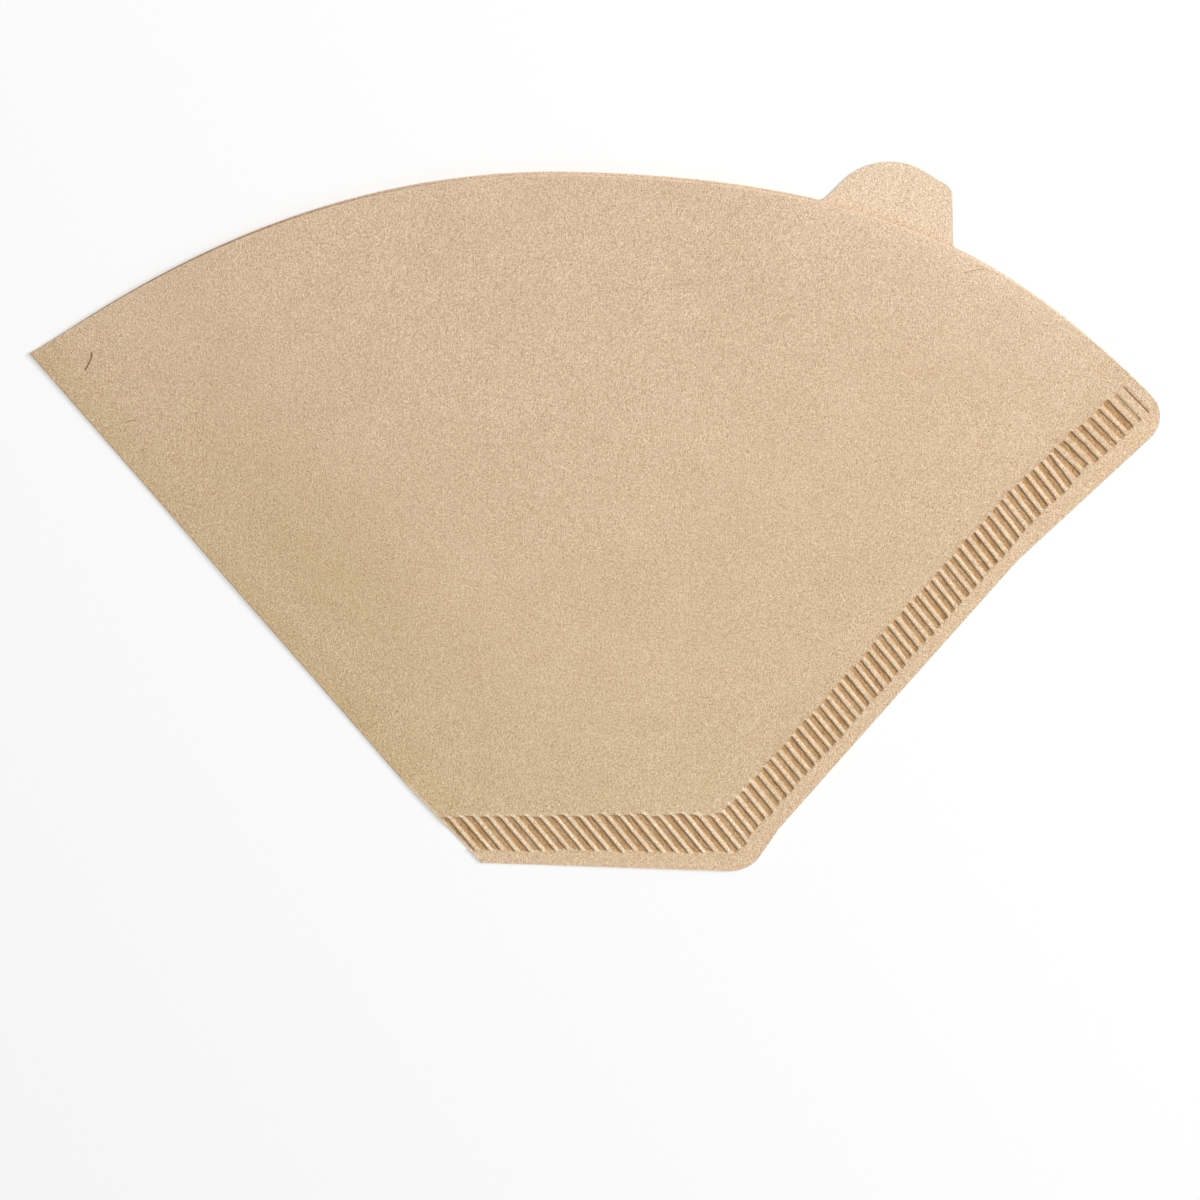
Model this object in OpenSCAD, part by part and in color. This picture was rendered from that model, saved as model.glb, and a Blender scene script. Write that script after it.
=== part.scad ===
// Cone coffee filter, size 4, lying flat with its mouth just ajar.
// One sheet of crepe paper is folded in half along the left side. Its two plies are
// crimped together along the foot and the right side, and stay open along the rim.
// The drawing is laid out from the middle of the foot, with y up towards the rim, and the
// finished filter is moved so that its origin is the middle of its footprint.

/* [Paper] */
// Thickness of one ply of crepe paper
paper_t = 0.2; // [0.12:0.01:0.3]
// How far the front ply stands off the rear ply at the crown of the rim
mouth_gape = 1.3; // [0.4:0.1:3]

/* [Foot] */
// Width of the foot, between the fold and the seam before rounding
foot_w = 46; // [36:1:60]
// Rounding of the corner between foot and side seam
foot_corner_r = 6; // [2:0.5:9]

/* [Fold] */
// Height of the fold's top corner over the foot
fold_h = 92.5; // [82:0.5:100]
// Lean of the fold from upright, in degrees
fold_lean = 37.8; // [32:0.1:42]
// Height up to which the crimped foot pulls the fold inwards
fold_knee_h = 13.4; // [8:0.1:20]
// Lean of the fold below that height, in degrees
fold_foot_lean = 40.6; // [34:0.1:46]

/* [Side seam] */
// Height of the seam's top corner, before rounding
seam_h = 87.3; // [78:0.5:96]
// Height at which the seam starts to flare out
flare_h = 60.7; // [45:0.5:70]
// Height below which the seam runs down steeply to the foot
seam_knee_h = 8.7; // [6:0.1:14]
// Lean of the seam from upright below its knee, in degrees
seam_foot_lean = 29; // [20:0.5:36]
// Lean of the seam between knee and flare, in degrees
seam_lean = 35.65; // [30:0.05:40]
// Lean of the flared stretch, in degrees
flare_lean = 41.35; // [34:0.05:46]
// Rounding of the seam's top corner
seam_corner_r = 5.5; // [1:0.5:7]

/* [Rim] */
// Height of the crown, the highest point of the rim
crown_h = 126.2; // [110:0.2:140]
// Distance of the crown from the middle of the foot, towards the fold
crown_x = 7.6; // [0:0.2:15]
// Slope of the rim where it leaves the fold, in degrees
rim_start_slope = 30; // [20:1:40]
// Slope of the rim where it comes down to the seam, in degrees
rim_end_slope = 44.8; // [36:0.2:50]
// Pull of the rim's curve where it leaves the fold
fold_pull = 11; // [4:1:20]
// Pull of the rim's curve at the crown, towards the fold
crown_fold_pull = 47; // [30:1:60]
// Pull of the rim's curve at the crown, towards the seam
crown_seam_pull = 51; // [35:1:60]
// Pull of the rim's curve where it comes down to the seam
seam_pull = 36; // [20:1:45]

/* [Tab] */
// Where the tab starts, from the middle of the foot towards the seam
tab_x = 31; // [15:0.2:40]
// Width of the tab at the rim
tab_w = 20.8; // [16:0.1:30]
// Where the tab's two slopes would meet, from its start
tab_peak_x = 8.6; // [7:0.1:14]
// Height of that point over the rim
tab_peak = 11.9; // [8:0.1:18]
// Height of the tab's steep side over the rim
tab_side = 9.8; // [6:0.1:12]
// Lean of the steep side from upright, in degrees
tab_side_lean = 3.7; // [0:0.1:8]
// Rounding of the tab's head
tab_head_r = 9.9; // [4:0.1:12]
// Rounding of the steep side's shoulder
tab_shoulder_r = 1.5; // [0.5:0.1:3]
// Blend between the rim and the tab's long slope
tab_blend_r = 1.6; // [1:0.1:4]
// Blend at the root of the steep side
tab_root_r = 0.8; // [0.4:0.1:2]

/* [Crimp] */
// Plain margin between the side seam's knee and the row of bars
seam_margin = 2.85; // [2:0.05:5]
// How much further than the seam the row of bars leans, in degrees
row_drift = 0.4; // [0:0.1:1]
// How much higher than the seam the row of bars flares out
row_delay = 9.8; // [0:0.1:14]
// Plain margin under the bars at the fold's end of the foot
foot_margin = 2.2; // [1.5:0.1:5]
// How much that margin grows along the foot, in degrees
foot_skew = 1.7; // [0:0.1:3]
// Width of the row of bars
crimp_w = 6.6; // [4:0.1:9]
// Plain stretch between the last bar and the seam's top corner
crimp_end_gap = 2.1; // [1:0.1:8]
// Pitch of the bars round the foot, square to them
foot_pitch = 1.835; // [1.4:0.005:2.6]
// Pitch of the bars along the side seam
seam_pitch = 1.785; // [1.4:0.005:2.6]
// Pitch of the turned bars at the mouth
mouth_pitch = 1.93; // [1.4:0.01:2.6]
// How many bars at the mouth turn outwards with the flare
turned_bars = 9; // [0:1:12]
// How far those bars turn, in degrees
bar_turn = 6.8; // [0:0.1:10]
// Distance from the fold's foot to the first ridge, square to the bars
first_ridge = 0.75; // [0.4:0.05:1.5]
// How far the first groove stays off the fold
fold_border = 0.3; // [0.2:0.05:1]
// Width of the pressed groove of a bar, square to it
groove_w = 1.1; // [0.7:0.05:1.3]
// Depth of the pressed grooves, on both faces
groove_depth = 0.14; // [0.06:0.01:0.2]

/* [Hidden] */

paper_color = [0.84, 0.74, 0.61];
curve_steps = 16;            // chords in each half of the rim
outline_chord = 8;           // turn of one chord on the outline's corners, in degrees
groove_chord = 60;           // turn of one chord on a groove's corners, in degrees
fold_chord = 22.5;           // turn of one chord round the fold, in degrees
cone_facets = 360;           // facets of the front ply's very shallow cone
groove_corner_r = 0.25;      // rounding of a groove's ends
rim_clearance = 0.5;         // what the rim's points keep off a rounded corner
bar_clearance = 0.2;         // least ridge where straight and turned bars meet
swell_clearance = 0.3;       // flat strip between the bars and the front ply's swelling
web_share = 0.2;             // share of a ridge that stays solid on each side of its lower groove
foot_rise = 2.2;             // slope at which the front ply leaves the foot, in degrees
over = 1;                    // how far cutting bodies run past the paper

sheet_t = 2*paper_t;

function unit(v) = v / norm(v);
function leaning(from, lean, h) = [from.x + (h - from.y)*tan(lean), h];
function turned(p, a) = [p.x*cos(a) - p.y*sin(a), p.x*sin(a) + p.y*cos(a)];
function bezier(p, t) = p[0]*(1-t)^3 + p[1]*3*t*(1-t)^2 + p[2]*3*t^2*(1-t) + p[3]*t^3;

// The point where the line through a and b meets the one through c and d
function crossing(a, b, c, d) =
    let (u = b - a, v = d - c)
    a + u * ((c.x - a.x)*v.y - (c.y - a.y)*v.x) / (u.x*v.y - u.y*v.x);

// One corner at p, between points a and b, as an arc of radius r in chords of some degrees
function corner(a, p, b, r, chord) =
    let (u = unit(a - p), v = unit(b - p),
         half = acos(max(-1, min(1, u*v)))/2)
    r == 0 ? [p] :
    let (centre = p + unit(u + v)*r/sin(half),
         start = p + u*r/tan(half) - centre,
         end = p + v*r/tan(half) - centre,
         n = max(2, ceil((180 - 2*half)/chord)))
    [for (k = [0:n]) centre + r*unit(start*(n - k)/n + end*k/n)];

// A closed outline from corners [x, y, r], each rounded with its own radius
function rounded(c, chord = outline_chord) =
    let (n = len(c), xy = [for (p = c) [p.x, p.y]])
    [for (i = [0:n-1]) each corner(xy[(i+n-1) % n], xy[i], xy[(i+1) % n], c[i][2], chord)];

// Main corners of the folded sheet
fold_foot = [-foot_w/2, 0];
fold_knee = leaning(fold_foot, -fold_foot_lean, fold_knee_h);
fold_top = leaning(fold_knee, -fold_lean, fold_h);
seam_foot = [foot_w/2, 0];
seam_knee = leaning(seam_foot, seam_foot_lean, seam_knee_h);
seam_flare = leaning(seam_knee, seam_lean, flare_h);
seam_top = leaning(seam_flare, flare_lean, seam_h);
crown = [-crown_x, crown_h];

// The rim: two curves that meet level at the crown
rim_fold_half = [
    fold_top,
    fold_top + fold_pull*[cos(rim_start_slope), sin(rim_start_slope)],
    crown - [crown_fold_pull, 0],
    crown];
rim_seam_half = [
    crown,
    crown + [crown_seam_pull, 0],
    seam_top + seam_pull*[-cos(rim_end_slope), sin(rim_end_slope)],
    seam_top];
seam_corner_reach = seam_corner_r + rim_clearance;
rim = concat(
    [for (i = [1:curve_steps]) bezier(rim_fold_half, i/curve_steps)],
    [for (i = [1:curve_steps-1]) let (p = bezier(rim_seam_half, i/curve_steps))
        if (norm(p - seam_top) > seam_corner_reach) p]);
function rim_y(x) = lookup(x, rim);

// Both plies have the same outline, apart from the tab on the rear one
sides = [
    [seam_top.x, seam_top.y, seam_corner_r],
    [seam_flare.x, seam_flare.y, 0],
    [seam_knee.x, seam_knee.y, 0],
    [seam_foot.x, seam_foot.y, foot_corner_r],
    [fold_foot.x, fold_foot.y, 0],
    [fold_knee.x, fold_knee.y, 0],
    [fold_top.x, fold_top.y, 0]];
front_outline = rounded(concat([for (p = rim) [p.x, p.y, 0]], sides));

tab_end = tab_x + tab_w;
tab_top = tab_x + tab_peak_x;
tab_corners = [
    [tab_x, rim_y(tab_x), tab_blend_r],
    [tab_top, rim_y(tab_top) + tab_peak, tab_head_r],
    [tab_end - tab_side*tan(tab_side_lean), rim_y(tab_end) + tab_side, tab_shoulder_r],
    [tab_end, rim_y(tab_end), tab_root_r]];
rear_outline = rounded(concat(
    [for (p = rim) if (p.x < tab_x - tab_blend_r) [p.x, p.y, 0]],
    tab_corners,
    [for (p = rim) if (p.x > tab_end + tab_root_r + rim_clearance) [p.x, p.y, 0]],
    sides));

// The fold's x at a height, and how far in from it the first groove and the swelling start
function fold_x(y) = lookup(y, [for (p = [fold_foot, fold_knee, fold_top]) [p.y, p.x]]);
fold_in = [fold_border/cos(fold_lean), 0];

// The row of bars lies between two guide lines. They follow the foot, with a margin that
// grows, then the side seam, with a flare of their own above the seam's.
crimp_start = leaning(fold_foot, -fold_foot_lean, foot_margin);
crimp_far = crimp_start + foot_w*[cos(foot_skew), sin(foot_skew)];
row_lean = seam_lean + row_drift;
row_knee = seam_knee + seam_margin*[-cos(seam_lean), sin(seam_lean)];
row_flare = leaning(row_knee, row_lean, flare_h + row_delay);
row_end = leaning(row_flare, flare_lean, crown_h);
function guide(inset) =
    let (up = inset*[-sin(foot_skew), cos(foot_skew)],
         in = inset*[-cos(row_lean), sin(row_lean)],
         in_flare = inset*[-cos(flare_lean), sin(flare_lean)])
    let (bend = crossing(crimp_start + up, crimp_far + up, row_knee + in, row_flare + in),
         flare = crossing(row_knee + in, row_flare + in, row_flare + in_flare, row_end + in_flare))
    [crimp_start + up - (crimp_far - crimp_start), bend, flare, row_end + in_flare];
outer_guide = guide(0);
inner_guide = guide(crimp_w);

// A bar is a line at a given distance across the bars. Turned upright with its row,
// its two ends are read off the guides. The first bar stops short of the fold.
function across(p, lean) = turned(p, -lean).x;
function bar_end(path, s, lean) =
    turned([s, lookup(s, [for (p = path) turned(p, -lean)])], lean);
function bar_cut(from, to, lean, r) = rounded([
    for (e = [[outer_guide, from], [outer_guide, to], [inner_guide, to], [inner_guide, from]])
        let (p = bar_end(e[0], e[1], lean)) [max(p.x, fold_x(p.y) + fold_in.x), p.y, r]],
    groove_chord);

// The turned bars at the mouth are counted back from the seam's top corner
turned_lean = fold_lean + bar_turn;
turned_start = across(seam_top, turned_lean) - crimp_end_gap - groove_w - (turned_bars - 1)*mouth_pitch;
turn_point = (bar_end(outer_guide, turned_start, turned_lean)
            + bar_end(inner_guide, turned_start, turned_lean))/2;
turn_room = tan(bar_turn)*crimp_w/2 + bar_clearance;

// The other bars run parallel to the fold. The foot's pitch holds round the corner, up to
// the height of the fold's knee, and the side seam's pitch takes over there.
first_bar = across(fold_foot, fold_lean) + first_ridge - groove_w;
foot_row_end = across(leaning(row_knee, row_lean, fold_knee_h), fold_lean);
foot_bars = floor((foot_row_end - first_bar)/foot_pitch);
seam_start = first_bar + foot_bars*foot_pitch;
seam_room = across(turn_point, fold_lean) - turn_room - groove_w - seam_start;
seam_bars = floor(seam_room/seam_pitch) + 1;

// Every bar as [distance across, lean, pitch]
bars = concat(
    [for (i = [0:1:foot_bars-1]) [first_bar + i*foot_pitch, fold_lean, foot_pitch]],
    [for (i = [0:1:seam_bars-1]) [seam_start + i*seam_pitch, fold_lean, seam_pitch]],
    [for (i = [0:1:turned_bars-1]) [turned_start + i*mouth_pitch, turned_lean, mouth_pitch]]);

// The front ply swells as a very shallow cone. Its tip is where the fold and the
// inner side of the crimp would meet, so both stay flat on the rear ply.
swell_guide = guide(crimp_w + swell_clearance);
cone_tip = crossing(fold_knee + fold_in, fold_top + fold_in, swell_guide[1], swell_guide[2]);
half_fan = (fold_lean + row_lean)/2;
fan_turn = (fold_lean - row_lean)/2;
lift_angle = atan(mouth_gape/norm(crown - cone_tip));
cone_tilt = atan(sin(lift_angle)/(cos(lift_angle) - cos(half_fan)));
cone_slope = cone_tilt - lift_angle;
reach = norm(crown - cone_tip) + foot_w;
cone_h = reach*tan(cone_slope);

// Centre of the footprint, which becomes the origin
xs = [for (p = rear_outline) p.x];
ys = [for (p = rear_outline) p.y];
middle = [min(xs) + max(xs), min(ys) + max(ys)]/2;

// Everything under the swelling front ply's upper face
module under_front_ply() {
    intersection() {
        translate([cone_tip.x, cone_tip.y, sheet_t])
            rotate([0, 0, fan_turn])
                rotate([cone_tilt, 0, 0])
                    translate([0, 0, -cone_h])
                        cylinder(h = cone_h, r1 = reach, r2 = 0, $fn = cone_facets);
        translate([swell_guide[1].x, swell_guide[1].y, sheet_t])
            rotate([0, 0, foot_skew])
                rotate([foot_rise, 0, 0])
                    translate([-reach, -foot_w, -reach])
                        cube([2*reach, 2*reach, reach]);
    }
}

// The two plies pressed flat, with the tab on the rear one
module flat_sheet() {
    linear_extrude(sheet_t) polygon(front_outline);
    linear_extrude(paper_t) polygon(rear_outline);
}

// The front ply's swelling, with the pocket still filled
module swelling() {
    intersection() {
        linear_extrude(mouth_gape + sheet_t + over) polygon(front_outline);
        under_front_ply();
    }
}

// The room between the plies, open at the rim
module pocket() {
    intersection() {
        translate([0, 0, -paper_t]) under_front_ply();
        translate([-reach, -foot_w, paper_t]) cube([2*reach, 2*reach, mouth_gape + over]);
    }
}

// Everything on the paper's side of a stretch of the fold, with the fold's half-round edge.
// Its first and last chords run on past the paper, where they clear the swelling ply.
module fold_side(from, to) {
    along = to - from;
    room = mouth_gape + over;
    run_on = -paper_t - room/tan(fold_chord/2);
    translate([from.x, from.y, 0])
        rotate([0, 0, atan2(along.y, along.x)])
            rotate([90, 0, 90])
                translate([0, 0, -reach])
                    linear_extrude(2*reach)
                        polygon(concat(
                            [[-2*reach, sheet_t + room], [run_on, sheet_t + room]],
                            [for (a = [90 + fold_chord:fold_chord:270 - fold_chord])
                                [-paper_t, paper_t] - paper_t*[cos(a), -sin(a)]],
                            [[run_on, -room], [-2*reach, -room]]));
}

// Grooves pressed into the upper face, one in each bar
module upper_grooves() {
    translate([0, 0, sheet_t - groove_depth])
        linear_extrude(groove_depth + over)
            for (b = bars)
                polygon(bar_cut(b[0], b[0] + groove_w, b[1], groove_corner_r));
}

// The matching grooves in the lower face, under the ridges between the bars
module lower_grooves() {
    translate([0, 0, -over])
        linear_extrude(groove_depth + over)
            for (b = bars) {
                web = web_share*(b[2] - groove_w);
                polygon(bar_cut(b[0] + groove_w + web, b[0] + b[2] - web, b[1], 0));
            }
}

module filter() {
    color(paper_color)
        translate([-middle.x, -middle.y, 0])
            difference() {
                intersection() {
                    union() {
                        flat_sheet();
                        swelling();
                    }
                    fold_side(fold_foot, fold_knee);
                    fold_side(fold_knee, fold_top);
                }
                pocket();
                upper_grooves();
                lower_grooves();
            }
}

filter();
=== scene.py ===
# %% [markdown]
# # A paper coffee filter
# This script makes the looks of one cone filter of brown crepe paper. The packed CAD part is
# loaded as a fixed frame, so the scene is in metres and the filter lies where the CAD has it.
# One mesh of the folded sheet then stands for the CAD solid, with finer crimps and a paper
# material.

import math

import bpy
import numpy as np
from mathutils import Matrix, Vector
from mathutils.geometry import delaunay_2d_cdt


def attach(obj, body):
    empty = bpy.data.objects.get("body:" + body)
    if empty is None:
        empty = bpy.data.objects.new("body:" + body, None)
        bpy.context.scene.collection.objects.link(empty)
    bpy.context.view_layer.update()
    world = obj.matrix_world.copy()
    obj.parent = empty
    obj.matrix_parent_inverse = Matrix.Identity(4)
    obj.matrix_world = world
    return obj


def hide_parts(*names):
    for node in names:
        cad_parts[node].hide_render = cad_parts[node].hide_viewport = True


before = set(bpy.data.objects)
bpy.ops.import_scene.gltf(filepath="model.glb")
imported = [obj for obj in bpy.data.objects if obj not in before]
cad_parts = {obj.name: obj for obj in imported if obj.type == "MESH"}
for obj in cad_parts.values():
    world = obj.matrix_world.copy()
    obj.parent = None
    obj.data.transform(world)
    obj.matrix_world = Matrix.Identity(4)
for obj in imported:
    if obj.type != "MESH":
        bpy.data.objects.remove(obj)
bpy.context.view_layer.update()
MM = 0.001
rng = np.random.default_rng(7)

# %% [markdown]
# ## The outline of the folded sheet
# A cone filter is a fan. Its left side is a fold, its foot and right side are crimped, and its
# rim is one long curve. The outline could be traced point by point. It is drawn here from the
# same few lengths and angles that the CAD uses, in millimetres from the middle of the foot.


# %% Helpers for drawing in the plane
def pt(x, y):
    return np.array([x, y], float)


def leaning(start, lean, height):
    """The point at a height on a line that leans from upright by some degrees."""
    return pt(start[0] + (height - start[1]) * math.tan(math.radians(lean)), height)


def polar(degrees, length=1.0):
    return length * pt(math.cos(math.radians(degrees)), math.sin(math.radians(degrees)))


def crossing(a, b, c, d):
    """The point where the line through a and b meets the line through c and d."""
    u, v = b - a, d - c
    w = c - a
    return a + u * (w[0] * v[1] - w[1] * v[0]) / (u[0] * v[1] - u[1] * v[0])


def bezier(p, n):
    """n points along a cubic curve with the four poles p."""
    t = np.linspace(0, 1, n)[:, None]
    return (
        (1 - t) ** 3 * p[0] + 3 * t * (1 - t) ** 2 * p[1] + 3 * t**2 * (1 - t) * p[2] + t**3 * p[3]
    )


def rounded(a, p, b, r, n=12):
    """Corner p between a and b as an arc of radius r."""
    u, v = (a - p) / np.linalg.norm(a - p), (b - p) / np.linalg.norm(b - p)
    half = math.acos(max(-1.0, min(1.0, float(u @ v)))) / 2
    centre = p + (u + v) / np.linalg.norm(u + v) * r / math.sin(half)
    start = p + u * r / math.tan(half) - centre
    end = p + v * r / math.tan(half) - centre
    arc = [start * (n - k) / n + end * k / n for k in range(n + 1)]
    return [centre + r * q / np.linalg.norm(q) for q in arc]


# %% Corners of the folded sheet
PLY = 0.2
FOOT_W = 46.0
FOLD_LEAN, FOLD_KNEE_H, FOLD_FOOT_LEAN, FOLD_H = 37.8, 13.4, 40.6, 92.5
SEAM_FOOT_LEAN, SEAM_KNEE_H, SEAM_LEAN, FLARE_H = 29.0, 8.7, 35.65, 60.7
FLARE_LEAN, SEAM_H = 41.35, 87.3

fold_foot = pt(-FOOT_W / 2, 0)
fold_knee = leaning(fold_foot, -FOLD_FOOT_LEAN, FOLD_KNEE_H)
fold_top = leaning(fold_knee, -FOLD_LEAN, FOLD_H)
seam_foot = pt(FOOT_W / 2, 0)
seam_knee = leaning(seam_foot, SEAM_FOOT_LEAN, SEAM_KNEE_H)
seam_flare = leaning(seam_knee, SEAM_LEAN, FLARE_H)
seam_top = leaning(seam_flare, FLARE_LEAN, SEAM_H)
CROWN_X, CROWN_H = -7.6, 126.2
crown = pt(CROWN_X, CROWN_H)
print("fold top", fold_top.round(2), "seam top", seam_top.round(2))

# %% The rim: two curves that meet level at the crown
RIM_STEPS = 90
RIM_RISE, RIM_FALL = 30, 44.8
START_PULL, LEFT_PULL, RIGHT_PULL, END_PULL = 11, 47, 51, 36
left_poles = [fold_top, fold_top + polar(RIM_RISE, START_PULL), crown - pt(LEFT_PULL, 0), crown]
right_poles = [
    crown,
    crown + pt(RIGHT_PULL, 0),
    seam_top + END_PULL * polar(180 - RIM_FALL),
    seam_top,
]
rim = np.vstack([bezier(left_poles, RIM_STEPS)[:-1], bezier(right_poles, RIM_STEPS)])


def rim_y(x):
    return float(np.interp(x, rim[:, 0], rim[:, 1]))


print("rim:", len(rim), "points, up to", rim[:, 1].max())

# %% The tab's corners, each with its radius
TAB_X, TAB_W, TAB_PEAK_X, TAB_PEAK, TAB_SIDE, TAB_SIDE_LEAN = 31.0, 20.8, 8.6, 11.9, 9.8, 3.7
TAB_START_R, TAB_PEAK_R, TAB_SHOULDER_R, TAB_END_R = 1.6, 9.9, 2.3, 0.8
tab_end = TAB_X + TAB_W
peak_x = TAB_X + TAB_PEAK_X
shoulder_x = tab_end - TAB_SIDE * math.tan(math.radians(TAB_SIDE_LEAN))
tab_corners = [
    (pt(TAB_X, rim_y(TAB_X)), TAB_START_R),
    (pt(peak_x, rim_y(peak_x) + TAB_PEAK), TAB_PEAK_R),
    (pt(shoulder_x, rim_y(tab_end) + TAB_SIDE), TAB_SHOULDER_R),
    (pt(tab_end, rim_y(tab_end)), TAB_END_R),
]
print("tab from", TAB_X, "to", tab_end)

# %% The two outlines
SEAM_CORNER_R, FOOT_CORNER_R = 5.5, 6.0
RIM_TAKEN, RIM_BACK = 6.0, 12
RIM_GAP, TAB_ROOM, START_ROOM, END_ROOM = 0.2, 2, 1.6, 1.2


def drop_near(points, centre, r):
    return [p for p in points if np.linalg.norm(p - centre) > r]


# The fold's own half round lies outside these points, so they start one ply in from it.
fold_shift = pt(PLY / math.cos(math.radians(FOLD_LEAN)), 0)
left = [fold_foot + fold_shift, fold_knee + fold_shift, fold_top + fold_shift]
rim_start = crossing(left[1], left[2], rim[0], rim[1])
rim_in = [p for p in rim if p[0] > rim_start[0] + RIM_GAP]
seam_corner = rounded(rim[-RIM_BACK], seam_top, seam_flare, SEAM_CORNER_R)
foot_corner = rounded(seam_knee, seam_foot, fold_foot, FOOT_CORNER_R)
right = seam_corner + [seam_flare, seam_knee] + foot_corner
front_rim = [rim_start] + drop_near(rim_in, seam_top, RIM_TAKEN)
front_loop = front_rim + right + [left[0], left[1]]

tab = []
corners = [p for p, _ in tab_corners]
x_before, x_after = TAB_X - TAB_ROOM, tab_end + TAB_ROOM
ends = [pt(x_before, rim_y(x_before))] + corners + [pt(x_after, rim_y(x_after))]
for i, (p, r) in enumerate(tab_corners):
    tab += rounded(ends[i], p, ends[i + 2], r, 20 if r == TAB_PEAK_R else 8)
rim_before = [p for p in front_rim if p[0] < TAB_X - START_ROOM]
rim_after = [p for p in front_rim if p[0] > tab_end + END_ROOM]
rear_rim = rim_before + tab + rim_after
rear_loop = rear_rim + right + [left[0], left[1]]
every = np.array(rear_loop + [fold_foot, fold_top])
middle = (every.min(0) + every.max(0)) / 2
middle[0] = (fold_top[0] + every[:, 0].max()) / 2
print("outlines:", len(front_loop), "and", len(rear_loop), "corners; middle", middle.round(3))


# %% Even points along an outline
OUTLINE_STEP, LEAST_STEP = 0.6, 0.45


def resample(loop, step, fixed):
    """Points about a step apart along a closed loop, keeping the fixed corners."""
    dense = []
    for i, p in enumerate(loop):
        q = loop[(i + 1) % len(loop)]
        n = max(1, int(round(np.linalg.norm(q - p) / step)))
        dense += [p + (q - p) * k / n for k in range(n)]
    kept = [dense[0]]
    for p in dense[1:]:
        is_fixed = min(np.linalg.norm(p - f) for f in fixed) < 1e-6
        if is_fixed or np.linalg.norm(p - kept[-1]) > LEAST_STEP * step:
            kept.append(p)
    return np.array(kept)


fixed_points = [rim_start, seam_flare, seam_knee, left[0], left[1]]
front_edge = resample(front_loop, OUTLINE_STEP, fixed_points)
rear_edge = resample(rear_loop, OUTLINE_STEP, fixed_points + corners)
print("edge points:", len(front_edge), len(rear_edge))

# %% [markdown]
# ## The row of pressed bars
# Ribbed rollers press the two plies together, with no glue. Each bar is a short groove across
# the seam, and the paper between two grooves stands up as a ridge. The bars run parallel to
# the fold, even where the row turns round the foot's corner, and the last ones turn outwards
# at the mouth. So a bar needs just its distance across, and its ends are read off two guides.

# %% Guides on both sides of the bars
FOOT_MARGIN, FOOT_SKEW, FOOT_SPREAD = 2.45, 1.45, 1.45
SEAM_MARGIN, CRIMP_W = 2.85, 6.6
ROW_LEAN = SEAM_LEAN + 0.4
ROW_FLARE_LATER = 9.8
crimp_start = leaning(fold_foot, -FOLD_FOOT_LEAN, FOOT_MARGIN)
row_knee = seam_knee + SEAM_MARGIN * polar(180 - SEAM_LEAN)
row_flare = leaning(row_knee, ROW_LEAN, FLARE_H + ROW_FLARE_LATER)
row_end = leaning(row_flare, FLARE_LEAN, CROWN_H)


def guide(far_in):
    """A line along the row, that far in from its outer side. The row widens a little from the
    fold to the bend."""
    start, side = crimp_start + polar(90 + FOOT_SKEW, far_in), polar(180 - ROW_LEAN, far_in)
    flare = polar(180 - FLARE_LEAN, far_in)
    along = polar(FOOT_SKEW + FOOT_SPREAD * far_in / CRIMP_W, FOOT_W)
    bend = crossing(start, start + along, row_knee + side, row_flare + side)
    turn = crossing(row_knee + side, row_flare + side, row_flare + flare, row_end + flare)
    return np.array([start - along, bend, turn, row_end + flare])


outer_guide, inner_guide = guide(0.0), guide(CRIMP_W)
print("guides:", outer_guide.round(1).tolist(), inner_guide.round(1).tolist())


# %% Axes across and along the bars
def turned(p, lean):
    """Points in axes across and along lines of that lean."""
    c, s = math.cos(math.radians(lean)), math.sin(math.radians(lean))
    p = np.asarray(p, float)
    return np.stack([p[..., 0] * c + p[..., 1] * s, -p[..., 0] * s + p[..., 1] * c], -1)


def unturned(p, lean):
    return turned(p, -lean)


def guide_at(path, s, lean):
    """How far along the bars a guide lies, at the distances s across them."""
    t = turned(path, lean)
    return np.interp(s, t[:, 0], t[:, 1])


# %% Where the foot's bars begin, and the turned ones at the mouth
GROOVE_W, RIDGE_0 = 1.1, 0.75
FOOT_PITCH, SEAM_PITCH, MOUTH_PITCH, TURNED_BARS = 1.835, 1.785, 1.93, 9
MOUTH_TURN, MOUTH_ROOM, TURN_GAP = 6.8, 2.1, 0.2
TURNED_LEAN = FOLD_LEAN + MOUTH_TURN
first_bar = turned(fold_foot, FOLD_LEAN)[0] + RIDGE_0 - GROOVE_W
foot_end = turned(leaning(row_knee, ROW_LEAN, FOLD_KNEE_H), FOLD_LEAN)[0]
foot_bars = int((foot_end - first_bar) // FOOT_PITCH)
seam_start = first_bar + foot_bars * FOOT_PITCH
last_bar = turned(seam_top, TURNED_LEAN)[0] - MOUTH_ROOM - GROOVE_W
turned_start = last_bar - (TURNED_BARS - 1) * MOUTH_PITCH
turn_outer = guide_at(outer_guide, turned_start, TURNED_LEAN)
turn_inner = guide_at(inner_guide, turned_start, TURNED_LEAN)
turn_mid = unturned(pt(turned_start, (turn_outer + turn_inner) / 2), TURNED_LEAN)
turn_mid_s = turned(turn_mid, FOLD_LEAN)[0]
print("the bars turn at", turn_mid.round(1))

# %% Every bar: its place across the row, lean, pitch and stretch
turn_wedge = math.tan(math.radians(MOUTH_TURN)) * CRIMP_W / 2
seam_room = turn_mid_s - turn_wedge - TURN_GAP - GROOVE_W - seam_start
seam_bars = int(seam_room // SEAM_PITCH) + 1
bars = [
    (start + i * pitch, lean, pitch, where)
    for start, lean, pitch, where, n in (
        (first_bar, FOLD_LEAN, FOOT_PITCH, "foot", foot_bars),
        (seam_start, FOLD_LEAN, SEAM_PITCH, "side", seam_bars),
        (turned_start, TURNED_LEAN, MOUTH_PITCH, "mouth", TURNED_BARS),
    )
    for i in range(n)
]
print("bars:", foot_bars, "+", seam_bars, "+", TURNED_BARS)

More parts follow.
